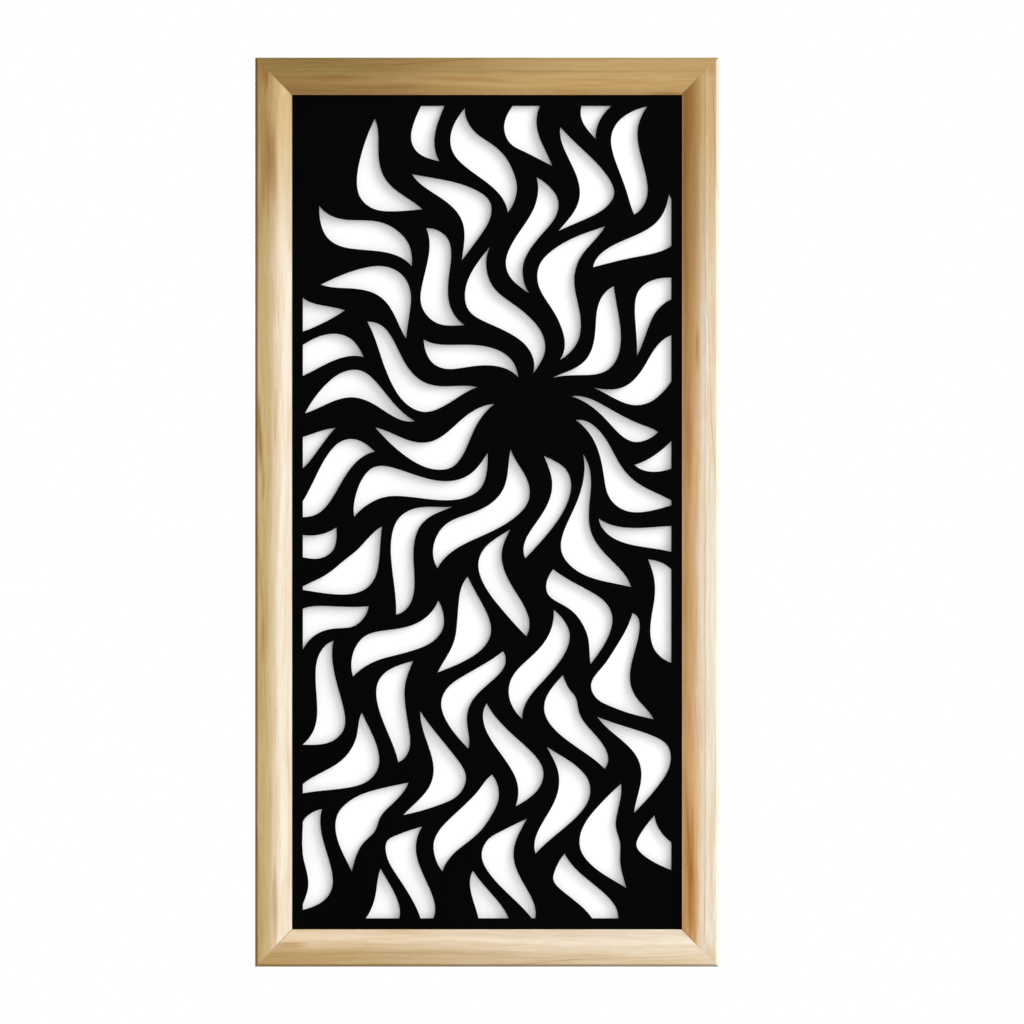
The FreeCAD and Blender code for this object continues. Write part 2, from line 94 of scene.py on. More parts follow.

# The four sides. A board's own axes run along its length, from its start at -X, and inwards from its outer
# edge along Z: turn and shift bring the frame's axes there. Each board's tone goes from one to another
# between the given shares of its length, at its outer and at its inner edge: partly the pine's own tone,
# partly painted shade that darkens the frame towards the top left. Its outer arris has painted shade, or on
# the right stile a painted highlight, laid over it at the given strength. A stain is a spot of heartwood,
# except the first on the top rail, which is painted shade in its inner corner: how far it lies from the
# board's start and from its outer edge, how far it reaches along and across the board, in millimetres, and
# how deep its colour is.
SIDES = {
    "bottom": {
        "board": "bottom_rail", "turn": 0, "shift": (0, 0, 0),
        "pins": 3, "pin_heads": (0, 0, 1),
        "outer": (OCHRE, STRAW), "inner": (CREAM, SAPWOOD), "drift": ((0.0, 1.0), (0.0, 1.0)),
        "arris": (ARRIS_SHADE, 0.6),
        "stains_and_shade": ((45, 27, 50, 9, 0.5), (330, 16, 120, 6, 0.1)),
    },
    "top": {
        "board": "top_rail", "turn": 180, "shift": (0, 0, HEIGHT),
        "pins": 3, "pin_heads": (0, 0, -1),
        "outer": (OCHRE, UMBER), "inner": (RESIN, CHESTNUT), "drift": ((0.25, 0.85), (0.35, 0.95)),
        "arris": (ARRIS_SHADE, 0.1),
        # The first spot on the top rail is painted shade in the inner corner at its right end.
        "stains_and_shade": ((70, 46, 50, 6, 0.5), (330, 28, 130, 9, 0.25), (430, 38, 110, 8, 0.3),
                   (500, 27, 110, 9, 0.4)),
    },
    "left": {
        "board": "left_stile", "turn": -90, "shift": (HEIGHT / 2, 0, WIDTH / 2),
        "pins": 6, "pin_heads": (1, 0, 0),
        "outer": (OLIVE, HONEY), "inner": (HONEY, SAPWOOD), "drift": ((0.04, 0.28), (0.04, 0.28)),
        "arris": (ARRIS_SHADE, 0.65),
        "stains_and_shade": ((12, 12, 70, 18, 0.6), (140, 19, 130, 24, 0.8), (480, 24, 90, 4, 0.45),
                   (485, 3.5, 80, 7, 0.95), (515, 5.5, 80, 7, 0.95), (560, 9, 55, 6, 0.5),
                   (770, 9, 70, 7, 0.35), (1120, 28, 110, 14, 0.55)),
    },
    "right": {
        "board": "right_stile", "turn": 90, "shift": (-HEIGHT / 2, 0, WIDTH / 2),
        "pins": 6, "pin_heads": (-1, 0, 0),
        # The inner tones are partly painted warm shade on the roll, which faces away from the light.
        "outer": (SAPWOOD, HONEY), "inner": (AMBER, BRONZE), "drift": ((0.62, 0.96), (0.45, 0.95)),
        "arris": (ARRIS_HIGHLIGHT, 0.5),
        "stains_and_shade": ((5, 10, 60, 15, 0.4), (60, 18.3, 120, 1.2, 0.6), (130, 38, 230, 18, 0.9),
                   (690, 40, 130, 10, 0.35), (819, 29, 70, 6, 0.55), (1190, 12, 42, 20, 0.5)),
    },
}

# Sockets that share a name with others on their node, by number.
MIX_A, MIX_B, MIX_RESULT = 6, 7, 2
RANDOM_MAX, RANDOM_RESULT = 3, 1
# Length of one wave of the Wave texture at a scale of 1.
WAVE_LENGTH = math.pi / 10
# Points of a CAD mesh that lie nearer together than this are one point.
SAME_POINT = 0.01 * MM
# Turn past which the outlines of the fretwork have a sharp corner.
TIP_TURN = math.radians(20)


def linear(hex_colour):
    """Linear RGBA of an sRGB hex colour."""
    channels = [int(hex_colour[start:start + 2], 16) / 255 for start in (1, 3, 5)]
    return [c / 12.92 if c <= 0.04045 else ((c + 0.055) / 1.055) ** 2.4 for c in channels] + [1.0]


def per_metre(*sizes_mm):
    """Scale of a pattern whose features are this many millimetres long, one number for each axis given."""
    scales = tuple(1 / (size * MM) for size in sizes_mm)
    return scales if len(scales) > 1 else scales[0]


def feed(node, inputs):
    """Give each named or numbered input of a node a value, or a link from another node's socket."""
    for socket, source in inputs.items():
        if isinstance(source, bpy.types.NodeSocket):
            node.id_data.links.new(source, node.inputs[socket])
        else:
            node.inputs[socket].default_value = source


def add(tree, kind, inputs=None, **settings):
    """Add a node with its settings and feed its inputs."""
    node = tree.nodes.new(kind)
    for name, setting in settings.items():
        setattr(node, name, setting)
    feed(node, inputs or {})
    return node


def new_material(name):
    """New material, with its node tree and its shader."""
    material = bpy.data.materials.new(name)
    material.use_nodes = True
    tree = material.node_tree
    return material, tree, tree.nodes["Principled BSDF"]


def nearness(tree, place, centre, reach):
    """1 at the centre of a soft spot, fading to 0 at its reach. An axis with no reach doesn't count."""
    scale = [1 / length if length else 0.0 for length in reach]
    shift = [-middle * size for middle, size in zip(centre, scale)]
    spot = add(tree, "ShaderNodeMapping", {"Vector": place, "Location": shift, "Scale": scale})
    apart = add(tree, "ShaderNodeVectorMath", {0: spot.outputs[0]}, operation="LENGTH")
    near = add(tree, "ShaderNodeMapRange", {"Value": apart.outputs["Value"], "To Min": 1.0, "To Max": 0.0},
               interpolation_type="SMOOTHSTEP")
    return near.outputs[0]


def mitre_closeness(tree, place):
    """1 on the mitre lines, which run inwards from the frame's corners, fading to 0 a little way off."""
    fade = 1.6 * MM
    axes = add(tree, "ShaderNodeSeparateXYZ", {0: place}).outputs
    across = add(tree, "ShaderNodeMath", {0: axes["X"]}, operation="ABSOLUTE")
    from_side = add(tree, "ShaderNodeMath", {0: WIDTH / 2, 1: across.outputs[0]}, operation="SUBTRACT")
    from_top = add(tree, "ShaderNodeMath", {0: HEIGHT, 1: axes["Z"]}, operation="SUBTRACT")
    from_end = add(tree, "ShaderNodeMath", {0: axes["Z"], 1: from_top.outputs[0]}, operation="MINIMUM")
    apart = add(tree, "ShaderNodeMath", {0: from_side.outputs[0], 1: from_end.outputs[0]},
                operation="SUBTRACT")
    apart = add(tree, "ShaderNodeMath", {0: apart.outputs[0]}, operation="ABSOLUTE")
    close = add(tree, "ShaderNodeMapRange",
                {"Value": apart.outputs[0], "From Min": 0.0, "From Max": fade, "To Min": 1.0, "To Max": 0.0},
                interpolation_type="SMOOTHSTEP")
    return close.outputs[0]


def wandering_grain(tree, board):
    """Places on a board, with a slow wander: the grain drifts a few millimetres over a hand's length."""
    length, width, reach = 240, 60, 16 * MM
    stretched = add(tree, "ShaderNodeMapping", {"Vector": board, "Scale": per_metre(length, width, width)})
    noise = add(tree, "ShaderNodeTexNoise", {"Vector": stretched.outputs[0], "Scale": 1.0, "Detail": 2.0})
    both_ways = add(tree, "ShaderNodeVectorMath", {0: noise.outputs["Color"], 1: (0.5, 0.5, 0.5)},
                    operation="SUBTRACT")
    drift = add(tree, "ShaderNodeVectorMath", {0: both_ways.outputs[0], "Scale": reach}, operation="SCALE")
    return add(tree, "ShaderNodeVectorMath", {0: board, 1: drift.outputs[0]}, operation="ADD").outputs[0]


def growth_rings(tree, grain):
    """Growth rings round a pith that lies behind the board and past its outer edge."""
    spacing = 5.0
    from_pith = (0, -70 * MM, 45 * MM)
    around = add(tree, "ShaderNodeMapping", {"Vector": grain, "Location": from_pith})
    rings = add(tree, "ShaderNodeTexWave",
                {"Vector": around.outputs[0], "Scale": WAVE_LENGTH * per_metre(spacing),
                 "Distortion": 0.8, "Detail": 2.0, "Detail Scale": 0.4},
                wave_type="RINGS", rings_direction="X", wave_profile="SIN")
    return rings.outputs["Fac"]


def grain_noises(tree, grain):
    """Noises drawn out along the grain, by the length, depth and width of their features in millimetres.
    Fibres are a few hundredths of a millimetre wide: they are drawn near 2 mm, so that they show from a step
    away, and finer between, for a closer look."""
    sizes = {
        "fibres": (80, 1.8, 1.8),
        "fine_fibres": (28, 0.5, 0.5),
        "patches": (170, 40, 22),
        "streaks": (420, 12, 8),
        "flames": (130, 8, 5),
        "breaks": (160, 30, 30),
    }
    noises = {}
    for pattern, size in sizes.items():
        scaled = add(tree, "ShaderNodeMapping", {"Vector": grain, "Scale": per_metre(*size)})
        noise = add(tree, "ShaderNodeTexNoise", {"Vector": scaled.outputs[0], "Scale": 1.0, "Detail": 3.0})
        noises[pattern] = noise.outputs["Fac"]
    return noises


def late_wood_hairlines(tree, grain, half_length, breaks):
    """Hairlines of late wood, where a ring leaves the face at a slant. They fade out and come back."""
    spacing, slant, dip = 18.0, math.radians(2.4), math.radians(35)
    line_start = 0.985
    faded, whole = 0.46, 0.68
    across = add(tree, "ShaderNodeMapping",
                 {"Vector": grain, "Location": (half_length, 0, 0), "Rotation": (dip, slant, 0)})
    crests = add(tree, "ShaderNodeTexWave",
                 {"Vector": across.outputs[0], "Scale": WAVE_LENGTH * per_metre(spacing)},
                 wave_type="BANDS", bands_direction="Z", wave_profile="SIN")
    lines = add(tree, "ShaderNodeMapRange",
                {"Value": crests.outputs["Fac"], "From Min": line_start, "From Max": 1.0},
                interpolation_type="SMOOTHSTEP")
    kept = add(tree, "ShaderNodeMapRange", {"Value": breaks, "From Min": faded, "From Max": whole})
    hairlines = add(tree, "ShaderNodeMath", {0: lines.outputs[0], 1: kept.outputs[0]}, operation="MULTIPLY")
    return hairlines.outputs[0]


def heartwood_and_shade(tree, grain, half_length, stains_and_shade, flames):
    """Layers of colour for a board's dark spots: heartwood, and on the top rail one spot of painted corner
    shade, whose edges are broken up by flames of grain.
    """
    tint, raggedness = "#C49C46", 1.2
    edge, core = 0.92, 1.75
    layers = []
    for start, inset, length, width, depth in stains_and_shade:
        middle = (start * MM - half_length, 0, inset * MM)
        spot = nearness(tree, grain, middle, (length * MM, None, width * MM))
        ragged = add(tree, "ShaderNodeMath", {0: flames, 1: raggedness, 2: spot}, operation="MULTIPLY_ADD")
        layers.append((ragged.outputs[0], edge, core, depth, tint))
    return layers


def board_tone(tree, along, inwards, half_length, tones, drifts):
    """A board's tone, from end to end and from its outer to its inner edge: partly its own, partly painted
    shade that darkens the frame towards the top left.
    """
    edges = []
    for (start, end), shares in zip(tones, drifts):
        first, last = [(share * 2 - 1) * half_length for share in shares]
        passed = add(tree, "ShaderNodeMapRange", {"Value": along, "From Min": first, "From Max": last},
                     interpolation_type="SMOOTHSTEP")
        tone = add(tree, "ShaderNodeMix",
                   {"Factor": passed.outputs[0], MIX_A: linear(start), MIX_B: linear(end)}, data_type="RGBA")
        edges.append(tone.outputs[MIX_RESULT])
    mixed = add(tree, "ShaderNodeMix", {"Factor": inwards, MIX_A: edges[0], MIX_B: edges[1]},
                data_type="RGBA")
    return mixed.outputs[MIX_RESULT]


def painted_arris_light(tree, board, colour, tone, strength):
    """A board's colour with painted shade, or on the right stile a painted highlight, laid over its outer
    arris.
    """
    reach, full = 6.0 * MM, 0.7
    near = nearness(tree, board, (0, LOW.y, 0), (None, reach, reach))
    share = add(tree, "ShaderNodeMapRange", {"Value": near, "From Max": full, "To Max": strength},
                interpolation_type="SMOOTHSTEP")
    mixed = add(tree, "ShaderNodeMix", {"Factor": share.outputs[0], MIX_A: colour, MIX_B: linear(tone)},
                data_type="RGBA")
    return mixed.outputs[MIX_RESULT]


def pine(name, side, outer, inner, varnished):
    """Planed pine: pale early wood and warmer late wood in soft lines along the board, fine fibres, a few
    dark hairlines that slant across the face, spots of heartwood, dark mitres, and painted light: shade
    towards the top left, in one corner of the top rail and on the outer arris, and on the right stile's
    arris a painted highlight."""
    outer_tone_end, inner_tone_start = 14 * MM, 37 * MM
    smoothest, roughest = (0.46, 0.60) if varnished else (0.66, 0.80)
    half_length = (WIDTH if side["turn"] % 180 == 0 else HEIGHT) / 2
    material, tree, shader = new_material(name)
    place = add(tree, "ShaderNodeTexCoord").outputs["Object"]
    turn = (0, math.radians(side["turn"]), 0)
    board = add(tree, "ShaderNodeMapping",
                {"Vector": place, "Location": side["shift"], "Rotation": turn}).outputs[0]
    grain = wandering_grain(tree, board)
    axes = add(tree, "ShaderNodeSeparateXYZ", {0: grain}).outputs
    inwards = add(tree, "ShaderNodeMapRange",
                  {"Value": axes["Z"], "From Min": outer_tone_end, "From Max": inner_tone_start},
                  interpolation_type="SMOOTHSTEP").outputs[0]
    noises = grain_noises(tree, grain)
    rings = growth_rings(tree, grain)
    hairlines = late_wood_hairlines(tree, grain, half_length, noises["breaks"])
    mitre = add(tree, "ShaderNodeMath", {0: mitre_closeness(tree, place), 1: inwards}, operation="MULTIPLY")

    # Each layer darkens and warms the tone: its pattern, where that starts and is full, strength and tint.
    layers = [
        (noises["patches"], 0.46, 0.76, 0.30, "#DDC08C"),
        (noises["streaks"], 0.48, 0.76, 0.27, "#D9B988"),
        (rings, 0.30, 1.0, 0.12, "#E0C48E"),
        (noises["fibres"], 0.40, 0.75, 0.24, "#D8BA8A"),
        (noises["fine_fibres"], 0.45, 0.75, 0.26, "#CDAA74"),
        (hairlines, 0.0, 1.0, 0.34, "#A87E48"),
        *heartwood_and_shade(tree, grain, half_length, side["stains_and_shade"], noises["flames"]),
        (mitre.outputs[0], 0.0, 1.0, 0.50, "#7A5531"),
    ]
    colour = board_tone(tree, axes["X"], inwards, half_length, (outer, inner), side["drift"])
    for pattern, low, high, strength, tint in layers:
        share = add(tree, "ShaderNodeMapRange",
                    {"Value": pattern, "From Min": low, "From Max": high, "To Min": 0.0, "To Max": strength},
                    interpolation_type="SMOOTHSTEP")
        colour = add(tree, "ShaderNodeMix", {"Factor": share.outputs[0], MIX_A: colour, MIX_B: linear(tint)},
                     data_type="RGBA", blend_type="MULTIPLY").outputs[MIX_RESULT]
    colour = painted_arris_light(tree, board, colour, *side["arris"])

    # The relief of the planed face: a pattern, its strength and its depth in millimetres.
    reliefs = (
        (noises["fibres"], 0.35, 0.15),
        (noises["fine_fibres"], 0.4, 0.05),
        (rings, 0.2, 0.2),
    )
    normal = add(tree, "ShaderNodeNewGeometry").outputs["Normal"]
    for pattern, strength, depth in reliefs:
        bump = add(tree, "ShaderNodeBump",
                   {"Height": pattern, "Strength": strength, "Distance": depth * MM, "Normal": normal})
        normal = bump.outputs[0]
    rough = add(tree, "ShaderNodeMapRange",
                {"Value": noises["fibres"], "To Min": smoothest, "To Max": roughest})
    feed(shader, {"Base Color": colour, "Roughness": rough.outputs[0], "Normal": normal,
                  "IOR": 1.5, "Specular IOR Level": 0.2})
    return material


def black_lacquered_board():
    """Fibreboard sprayed deep matt black: no grain shows, only a faint orange peel and an uneven gloss."""
    peel_size, haze_size = 2.5, 90
    material, tree, shader = new_material("black_lacquered_board")
    place = add(tree, "ShaderNodeTexCoord").outputs["Object"]
    peel = add(tree, "ShaderNodeTexNoise",
               {"Vector": place, "Scale": per_metre(peel_size), "Detail": 2.0}).outputs["Fac"]
    haze = add(tree, "ShaderNodeTexNoise",
               {"Vector": place, "Scale": per_metre(haze_size), "Detail": 3.0}).outputs["Fac"]
    colour = add(tree, "ShaderNodeMix",
                 {"Factor": haze, MIX_A: linear("#010101"), MIX_B: linear("#040404")}, data_type="RGBA")
    rough = add(tree, "ShaderNodeMapRange", {"Value": haze, "To Min": 0.42, "To Max": 0.58})
    relief = add(tree, "ShaderNodeBump", {"Height": peel, "Strength": 0.2, "Distance": 0.05 * MM})
    feed(shader, {"Base Color": colour.outputs[MIX_RESULT], "Roughness": rough.outputs[0],
                  "Normal": relief.outputs[0], "Specular IOR Level": 0.01})
    return material


def zinc_plated_steel():
    """Stamped steel, zinc plated: a pale bluish grey metal with a soft cloudy sheen and fine draw lines."""
    cloud_size, line_width, line_length = 6, 0.4, 12
    material, tree, shader = new_material("zinc_plated_steel")
    place = add(tree, "ShaderNodeTexCoord").outputs["Object"]
    clouds = add(tree, "ShaderNodeTexNoise",
                 {"Vector": place, "Scale": per_metre(cloud_size), "Detail": 3.0}).outputs["Fac"]
    drawn = add(tree, "ShaderNodeMapping",
                {"Vector": place, "Scale": per_metre(line_width, line_width, line_length)})
    lines = add(tree, "ShaderNodeTexNoise",
                {"Vector": drawn.outputs[0], "Scale": 1.0, "Detail": 2.0}).outputs["Fac"]
    colour = add(tree, "ShaderNodeMix",
                 {"Factor": clouds, MIX_A: linear("#A6ABB0"), MIX_B: linear("#C9CAC5")}, data_type="RGBA")
    rough = add(tree, "ShaderNodeMapRange", {"Value": clouds, "To Min": 0.24, "To Max": 0.46})
    relief = add(tree, "ShaderNodeBump", {"Height": lines, "Strength": 0.15, "Distance": 0.03 * MM})
    feed(shader, {"Base Color": colour.outputs[MIX_RESULT], "Roughness": rough.outputs[0],
                  "Normal": relief.outputs[0], "Metallic": 1.0})
    return material


def bright_drawn_wire():
    """Bright drawn steel wire: a darker, cleaner grey than the plated steel, with small smears of gloss."""
    smear_size = 1.2
    material, tree, shader = new_material("bright_drawn_wire")
    place = add(tree, "ShaderNodeTexCoord").outputs["Object"]
    smears = add(tree, "ShaderNodeTexNoise",
                 {"Vector": place, "Scale": per_metre(smear_size), "Detail": 2.0}).outputs["Fac"]
    colour = add(tree, "ShaderNodeMix",
                 {"Factor": smears, MIX_A: linear("#8E8F92"), MIX_B: linear("#B9B9B8")}, data_type="RGBA")
    rough = add(tree, "ShaderNodeMapRange", {"Value": smears, "To Min": 0.22, "To Max": 0.40})
    feed(shader, {"Base Color": colour.outputs[MIX_RESULT], "Roughness": rough.outputs[0], "Metallic": 1.0})
    return material


def compressed_beech():
    """Die-pressed beech: pinkish tan with short dark ray flecks and a dull, dry surface."""
    fleck_length, fleck_width = 4, 0.8
    material, tree, shader = new_material("compressed_beech")
    place = add(tree, "ShaderNodeTexCoord").outputs["Object"]
    short = add(tree, "ShaderNodeMapping",
                {"Vector": place, "Scale": per_metre(fleck_length, fleck_width, fleck_width)})
    flecks = add(tree, "ShaderNodeTexNoise",
                 {"Vector": short.outputs[0], "Scale": 1.0, "Detail": 2.0}).outputs["Fac"]
    share = add(tree, "ShaderNodeMapRange", {"Value": flecks, "From Min": 0.5, "From Max": 0.7},
                interpolation_type="SMOOTHSTEP").outputs[0]
    colour = add(tree, "ShaderNodeMix",
                 {"Factor": share, MIX_A: linear("#D3B08A"), MIX_B: linear("#9E7249")}, data_type="RGBA")
    rough = add(tree, "ShaderNodeMapRange", {"Value": flecks, "To Min": 0.65, "To Max": 0.85})
    relief = add(tree, "ShaderNodeBump", {"Height": flecks, "Strength": 0.3, "Distance": 0.1 * MM})
    feed(shader, {"Base Color": colour.outputs[MIX_RESULT], "Roughness": rough.outputs[0],
                  "Normal": relief.outputs[0]})
    return material


def new_object(name, data):
    """New object in the scene, at the origin."""
    thing = bpy.data.objects.new(name, data)
    bpy.context.scene.collection.objects.link(thing)
    return thing


def coat(mesh, material):
    """Give a mesh one material in place of those it has."""
    mesh.materials.clear()
    mesh.materials.append(material)


def stand_for(piece, node):
    """Let a finished piece take a CAD node's place."""
    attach(piece, "root")
    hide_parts(node)


def merged_shell(mesh, distance):
    """Editable shell of a mesh, whose points are merged where they lie this near together."""
    shell = bmesh.new()
    shell.from_mesh(mesh)
    bmesh.ops.remove_doubles(shell, verts=shell.verts, dist=distance)
    return shell


def write_smooth(shell, mesh):
    """Write a shell into a mesh, shaded smooth, and free the shell."""
    for face in shell.faces:
        face.smooth = True
    shell.to_mesh(mesh)
    shell.free()


def evaluated_mesh(thing):
    """Plain mesh of what an object's curve or modifiers make."""
    return bpy.data.meshes.new_from_object(thing.evaluated_get(bpy.context.evaluated_depsgraph_get()))


def angles_round(sides):
    """Evenly spaced angles once round."""
    return [2 * math.pi * index / sides for index in range(sides)]


def on_mitre(edge):
    """Whether an edge lies in one of the frame's mitres, which are glued flush and so stay sharp."""
    tolerance = 0.02 * MM
    middle = (edge.verts[0].co + edge.verts[1].co) / 2
    from_side = WIDTH / 2 - abs(middle.x)
    from_end = min(middle.z - LOW.z, HIGH.z - middle.z)
    return abs(from_side - from_end) < tolerance


def eased(name, node, radius, material):
    """Copy of a CAD piece whose sharp edges are softly rounded, as sanding or tumbling leaves them."""
    sharp_turn, flat_turn = math.radians(35), math.radians(0.5)
    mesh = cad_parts[node].data.copy()
    for attribute in ("custom_normal", "sharp_edge", "sharp_face"):
        if attribute in mesh.attributes:
            mesh.attributes.remove(mesh.attributes[attribute])
    shell = merged_shell(mesh, SAME_POINT)
    bmesh.ops.dissolve_limit(shell, angle_limit=flat_turn, verts=shell.verts, edges=shell.edges)
    sharp = [edge for edge in shell.edges if edge.calc_face_angle(0) > sharp_turn and not on_mitre(edge)]
    bmesh.ops.bevel(shell, geom=sharp, offset=radius, offset_type="OFFSET", segments=2, profile=0.5,
                    affect="EDGES")
    for edge in shell.edges:
        edge.smooth = edge.calc_face_angle(0) < sharp_turn or not on_mitre(edge)
    write_smooth(shell, mesh)
    coat(mesh, material)
    piece = new_object(name, mesh)
    shading = piece.modifiers.new("shading", "WEIGHTED_NORMAL")
    shading.keep_sharp = True
    stand_for(piece, node)


def front_outlines(node):
    """Closed outlines of a CAD sheet's front face, as lists of points."""
    facing_front = -0.9
    shell = merged_shell(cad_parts[node].data, SAME_POINT)
    others = [face for face in shell.faces if face.normal.y > facing_front]
    bmesh.ops.delete(shell, geom=others, context="FACES")
    rim = dict.fromkeys(edge for edge in shell.edges if edge.is_boundary)
    outlines = []
    while rim:
        first, last = rim.popitem()[0].verts
        outline = [first.co.copy()]
        while last != first:
            outline.append(last.co.copy())
            edge = next(edge for edge in last.link_edges if edge in rim)
            del rim[edge]
            last = edge.other_vert(last)
        outlines.append(outline)
    shell.free()
    return outlines


def sheet_curve(name, node, radius):
    """Filled flat curve of a CAD sheet: its rim and its openings run opposite ways round, are smooth through
    their points but for sharp tips, and have the sheet's thickness with both edges eased."""
    low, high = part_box(node)
    curve = bpy.data.curves.new(name, "CURVE")
    curve.dimensions = "2D"
    curve.fill_mode = "BOTH"
    curve.resolution_u = 3
    curve.bevel_depth = radius
    curve.bevel_resolution = 1
    curve.offset = -radius
    curve.extrude = (high.y - low.y) / 2 - radius
    for outline in front_outlines(node):
        around = list(zip(outline[-1:] + outline[:-1], outline, outline[1:] + outline[:1]))
        area = sum(before.x * point.z - point.x * before.z for before, point, _ in around) / 2
        is_opening = abs(area) < (high.x - low.x) * (high.z - low.z) / 2
        if (area > 0) == is_opening:
            around = [(after, point, before) for before, point, after in reversed(around)]
        spline = curve.splines.new("BEZIER")
        spline.bezier_points.add(len(around) - 1)
        spline.use_cyclic_u = True
        for knot, (before, point, after) in zip(spline.bezier_points, around):
            knot.co = (point.x, point.z, 0)
            turn = (point - before).angle(after - point)
            knot.handle_left_type = knot.handle_right_type = "VECTOR" if turn > TIP_TURN else "AUTO"
    return curve


def cut_sheet(name, node, radius, material):
    """The fretwork sheet, as a saw leaves it: each opening is a smooth curve through the points of its CAD
    outline, sharp only at its tips, and the edges of both faces are eased."""
    seam = 0.001 * MM
    low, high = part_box(node)
    drawing = new_object(name + "_drawing", sheet_curve(name, node, radius))
    mesh = evaluated_mesh(drawing)
    bpy.data.objects.remove(drawing)
    upright = Matrix.Rotation(math.radians(90), 4, "X")
    mesh.transform(Matrix.Translation((0, (low.y + high.y) / 2, 0)) @ upright)
    shell = merged_shell(mesh, seam)
    bmesh.ops.recalc_face_normals(shell, faces=shell.faces)
    write_smooth(shell, mesh)
    mesh.set_sharp_from_angle(angle=TIP_TURN)
    coat(mesh, material)
    stand_for(new_object(name, mesh), node)


def turned(name, rows):
    """Closed turned shape about Z, from a point at its top to one at its bottom. Each row between them is a
    ring: a radius, or a rule that gives one from the angle, and a height."""
    sides, crease = 24, math.radians(40)
    shell = bmesh.new()
    rings = []
    for radius, height in rows[1:-1]:
        ring = []
        for angle in angles_round(sides):
            reach = radius(angle) if callable(radius) else radius
            ring.append(shell.verts.new((reach * math.cos(angle), reach * math.sin(angle), height)))
        rings.append(ring)
    top = shell.verts.new((0, 0, rows[0][1]))
    bottom = shell.verts.new((0, 0, rows[-1][1]))
    for index in range(sides):
        after = (index + 1) % sides
        shell.faces.new((top, rings[0][index], rings[0][after]))
        shell.faces.new((bottom, rings[-1][after], rings[-1][index]))
        for upper, lower in zip(rings, rings[1:]):
            shell.faces.new((upper[index], lower[index], lower[after], upper[after]))
    mesh = bpy.data.meshes.new(name)
    write_smooth(shell, mesh)
    mesh.set_sharp_from_angle(angle=crease)
    return new_object(name, mesh)


def panel_pin(head, length):
    """Drawn wire pin with a small domed head, grip rings below it and a cut point. Its head faces +Z."""
    shank, neck_depth = 0.7 * MM, 1.0 * MM
    grip_count, grip_start, grip_pitch, groove_share = 7, 1.2 * MM, 0.7 * MM, 0.86
    point, facet_radius, facet_height = 2.0 * MM, 0.42 * MM, 0.8 * MM
    # The dome's rings: shares of the head's radius, and how deep they lie in millimetres.
    dome_rings = ((0.45, 0.05), (0.8, 0.2), (0.97, 0.42), (1.0, 0.6), (0.97, 0.8))
    rows = [(0, 0)] + [(head * share, -depth * MM) for share, depth in dome_rings]
    rows.append((shank, -neck_depth))
    for index in range(grip_count):
        height = -grip_start - grip_pitch * index
        rows += [(shank, height), (shank * groove_share, height - grip_pitch / 2)]
    rows += [(shank, point - length), (facet_radius, facet_height - length), (0, -length)]
    return turned("panel_pin", rows)


def wood_screw(head, length):
    """Countersunk wood screw with a cross recess, a plain neck, a coarse thread and a gimlet point. Its head
    faces +Z."""
    arm, half_width, recess = 1.5 * MM, 0.4 * MM, 1.2 * MM
    crest, core, pitch = 1.45 * MM, 1.05 * MM, 1.25 * MM
    cone, neck, tip = 1.75 * MM, 4.0 * MM, 3.0 * MM
    half_ridge, rings_per_turn = 0.3, 5

    def cross(size):
        """Outline of the recess: four straight arms, seen from the axis."""
        def reach(angle):
            off_arm = abs((angle + math.pi / 4) % (math.pi / 2) - math.pi / 4)
            on_end = arm * math.tan(off_arm) < half_width
            return size * (arm / math.cos(off_arm) if on_end else half_width / math.sin(off_arm))
        return reach

    def thread(height, share):
        """Helical ridge round the core, drawn in towards the point."""
        def reach(angle):
            turn = (height / pitch - angle / (2 * math.pi)) % 1.0
            ridge = max(0.0, 1 - abs(turn - 0.5) / half_ridge)
            return share * (core + (crest - core) * ridge)
        return reach

    rows = [
        # the recess, from its floor up to its rim
        (0, -recess),
        (cross(0.55), -recess * 0.92),
        (cross(1.0), -0.04 * MM),
        # the flat head, its rounded rim and the cone below it
        (head * 0.72, 0.0),
        (head * 0.96, -0.08 * MM),
        (head, -0.25 * MM),
        (crest, -cone),
        (crest, -neck),
    ]
    steps = round((length - neck) / pitch * rings_per_turn)
    for step in range(1, steps):
        height = -neck - (length - neck) * step / steps
        rows.append((thread(height, min(1.0, (length + height) / tip)), height))
    return turned("wood_screw", rows + [(0, -length)])


